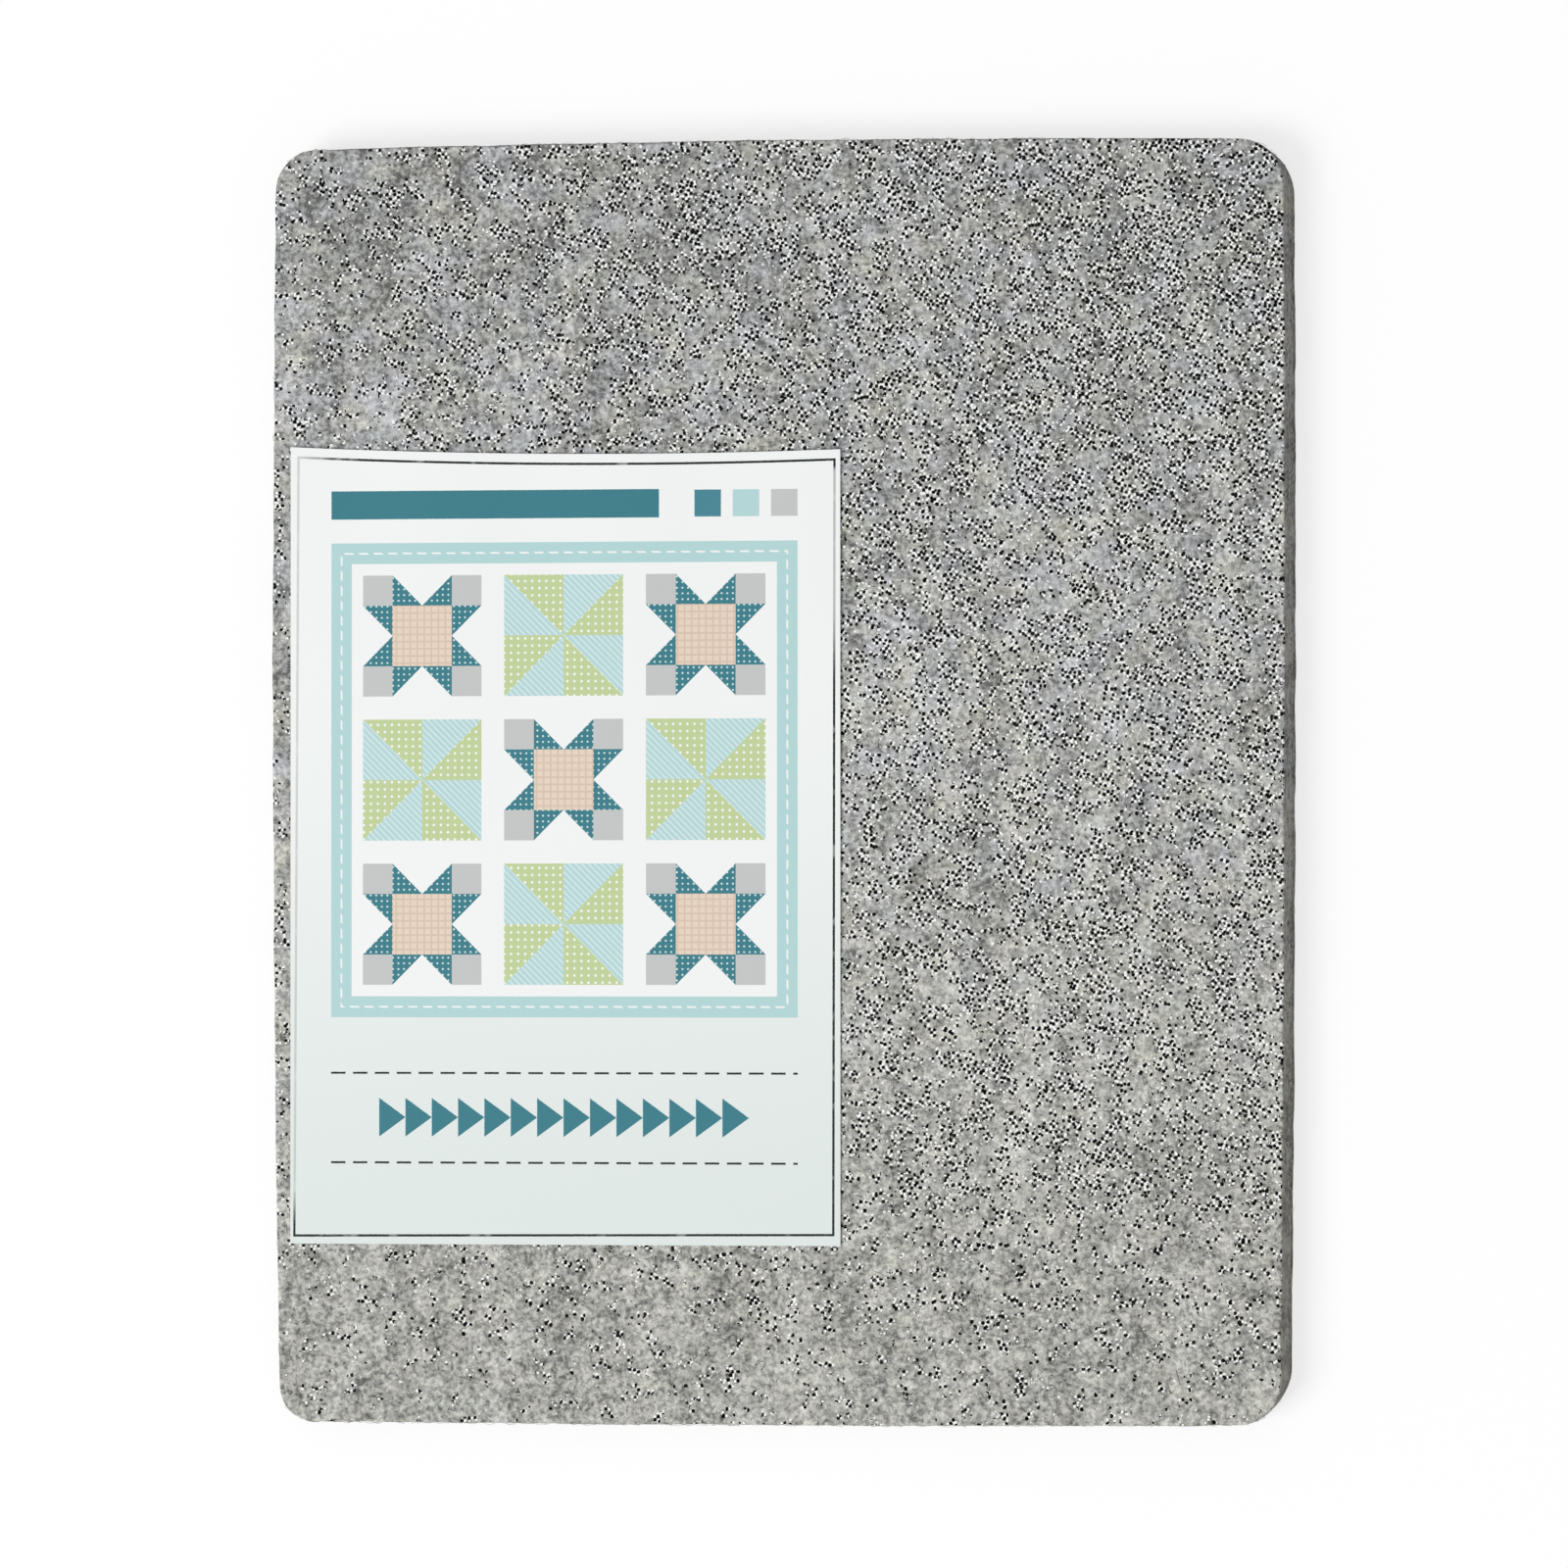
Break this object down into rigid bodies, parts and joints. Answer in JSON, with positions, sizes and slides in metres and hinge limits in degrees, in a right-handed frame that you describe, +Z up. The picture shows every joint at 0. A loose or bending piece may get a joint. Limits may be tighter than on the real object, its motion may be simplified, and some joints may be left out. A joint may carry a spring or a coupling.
{
  "type": "ironing pad",
  "caption": "Thick flat pad of grey wool felt with round corners, for ironing and pressing on, with a loose printed paper card lying on its face.",
  "frame": {"origin": "centre of the pad's outline on the surface that it rests on", "axes": "+X along the pad's width, towards its bare half; +Y along its length, towards the card's top edge; +Z up out of the pressing face"},
  "size_m": [0.345, 0.43, 0.0136],
  "materials": {
    "wool_felt": "matte",
    "printed_paper": "satin"
  },
  "bodies": {
    "pad": {"felt_pad": "wool_felt"},
    "card": {"insert_card": "printed_paper"}
  },
  "joints": [
    {"name": "card_lift", "type": "slide", "parent": "pad", "child": "card", "axis": [0, 0, 1], "range_m": [0, 0.1]}
  ]
}
